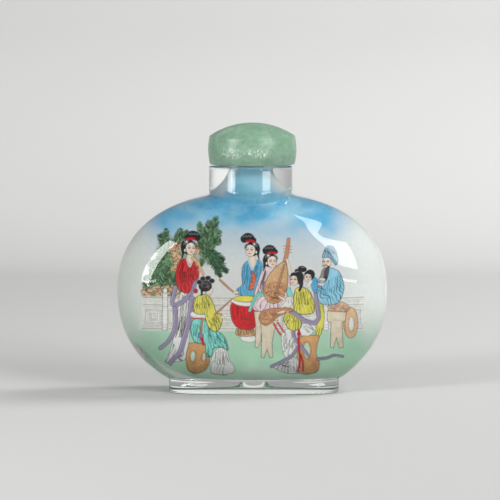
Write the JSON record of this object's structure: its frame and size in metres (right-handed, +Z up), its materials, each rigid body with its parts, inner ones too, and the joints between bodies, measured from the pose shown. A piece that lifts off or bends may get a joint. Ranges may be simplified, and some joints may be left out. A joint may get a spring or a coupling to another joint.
{
  "type": "snuff bottle",
  "caption": "Large flattened oval snuff bottle of clear glass, painted on the inside, with a domed green stone stopper on a cork.",
  "frame": {"origin": "centre of the foot's underside, in the plane that the bottle stands on", "axes": "+Z up through the neck and stopper, the two broad painted faces look along -Y and +Y, and +X runs along the bottle's width; the main picture is on the -Y face"},
  "size_m": [0.0868, 0.0328, 0.0863],
  "materials": {
    "glass": "polished clear glass, painted on the wall of the hollow",
    "green_stone": "polished, slightly worn",
    "cork": "raw cork"
  },
  "bodies": {
    "root": {"glass_bottle": "glass", "stopper_cap": "green_stone", "stopper_cork": "cork"}
  },
  "joints": []
}
